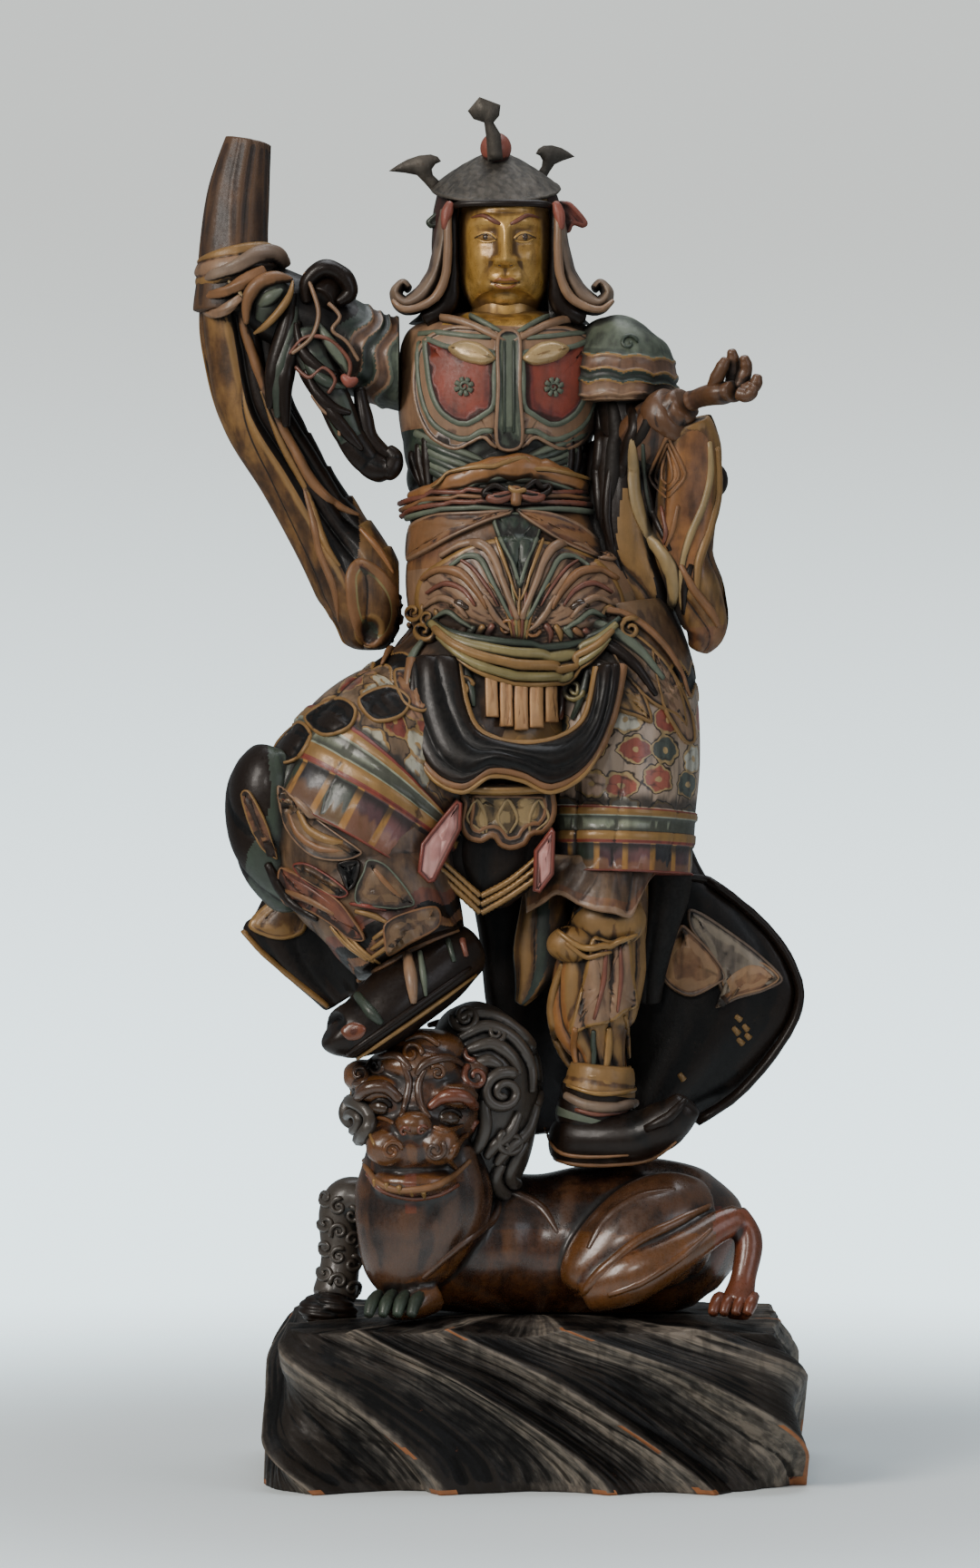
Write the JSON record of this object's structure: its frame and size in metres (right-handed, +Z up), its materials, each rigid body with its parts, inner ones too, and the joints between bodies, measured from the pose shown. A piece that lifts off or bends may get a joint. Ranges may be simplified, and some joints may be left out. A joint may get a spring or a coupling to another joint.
{
  "type": "carved guardian figure",
  "caption": "Carved and painted wooden guardian king in armour with a raised arm, standing on a crouching lion-dog over a grooved rock plinth.",
  "frame": {"origin": "centre of the underside of the rock plinth", "axes": "+Z up, the figure faces -Y, +X is to the right of a viewer in front of it"},
  "size_m": [0.5245, 0.3292, 1.1771],
  "materials": {
    "plinth_wood": "worn black paint over orange-brown wood",
    "beast_wood": "glossy dark red-brown lacquer",
    "figure_wood": "worn lacquer, pigment and gilding",
    "sleeve_wood": "worn brown lacquer and gilding",
    "hand_wood": "dark lacquer",
    "crown_metal": "dull grey-brown patina"
  },
  "bodies": {
    "root": {"rock_plinth": "plinth_wood", "lion_dog": "beast_wood", "guardian_figure": "figure_wood", "raised_arm": "sleeve_wood", "open_hand": "hand_wood", "helmet_crown": "crown_metal"}
  },
  "joints": []
}
